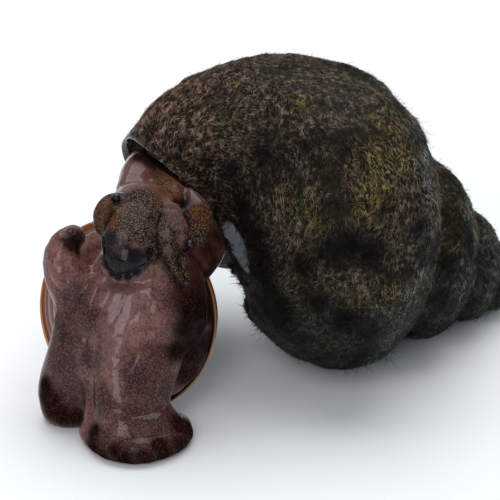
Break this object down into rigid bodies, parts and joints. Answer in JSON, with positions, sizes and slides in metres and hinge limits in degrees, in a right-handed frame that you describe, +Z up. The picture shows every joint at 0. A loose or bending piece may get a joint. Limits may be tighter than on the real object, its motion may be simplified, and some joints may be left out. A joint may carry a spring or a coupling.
{
  "type": "trapdoor snail model",
  "caption": "Life-size still model of a live trapdoor snail, its shell resting on the whorls and its folded foot and head out of the opening.",
  "frame": {"origin": "centre of the bounding box at the floor", "axes": "+X to the apex side of the shell as the picture shows it, +Y away from the viewer, +Z up"},
  "size_m": [0.0468, 0.0358, 0.0297],
  "materials": {
    "shell": "dark olive brown to black periostracum with fine algae, matt",
    "operculum": "horny, orange brown, satin",
    "flesh": "wet, purplish brown with black and orange specks, glossy",
    "eye": "black, glossy"
  },
  "bodies": {
    "root": {"shell": "shell", "operculum": "operculum", "mantle": "flesh", "neck": "flesh", "head": "flesh", "tentacle_left": "flesh", "tentacle_right": "flesh", "eye_left": "eye", "eye_right": "eye", "nuchal_lobe_left": "flesh", "nuchal_lobe_right": "flesh", "foot_front": "flesh", "foot_rear": "flesh"}
  },
  "joints": []
}
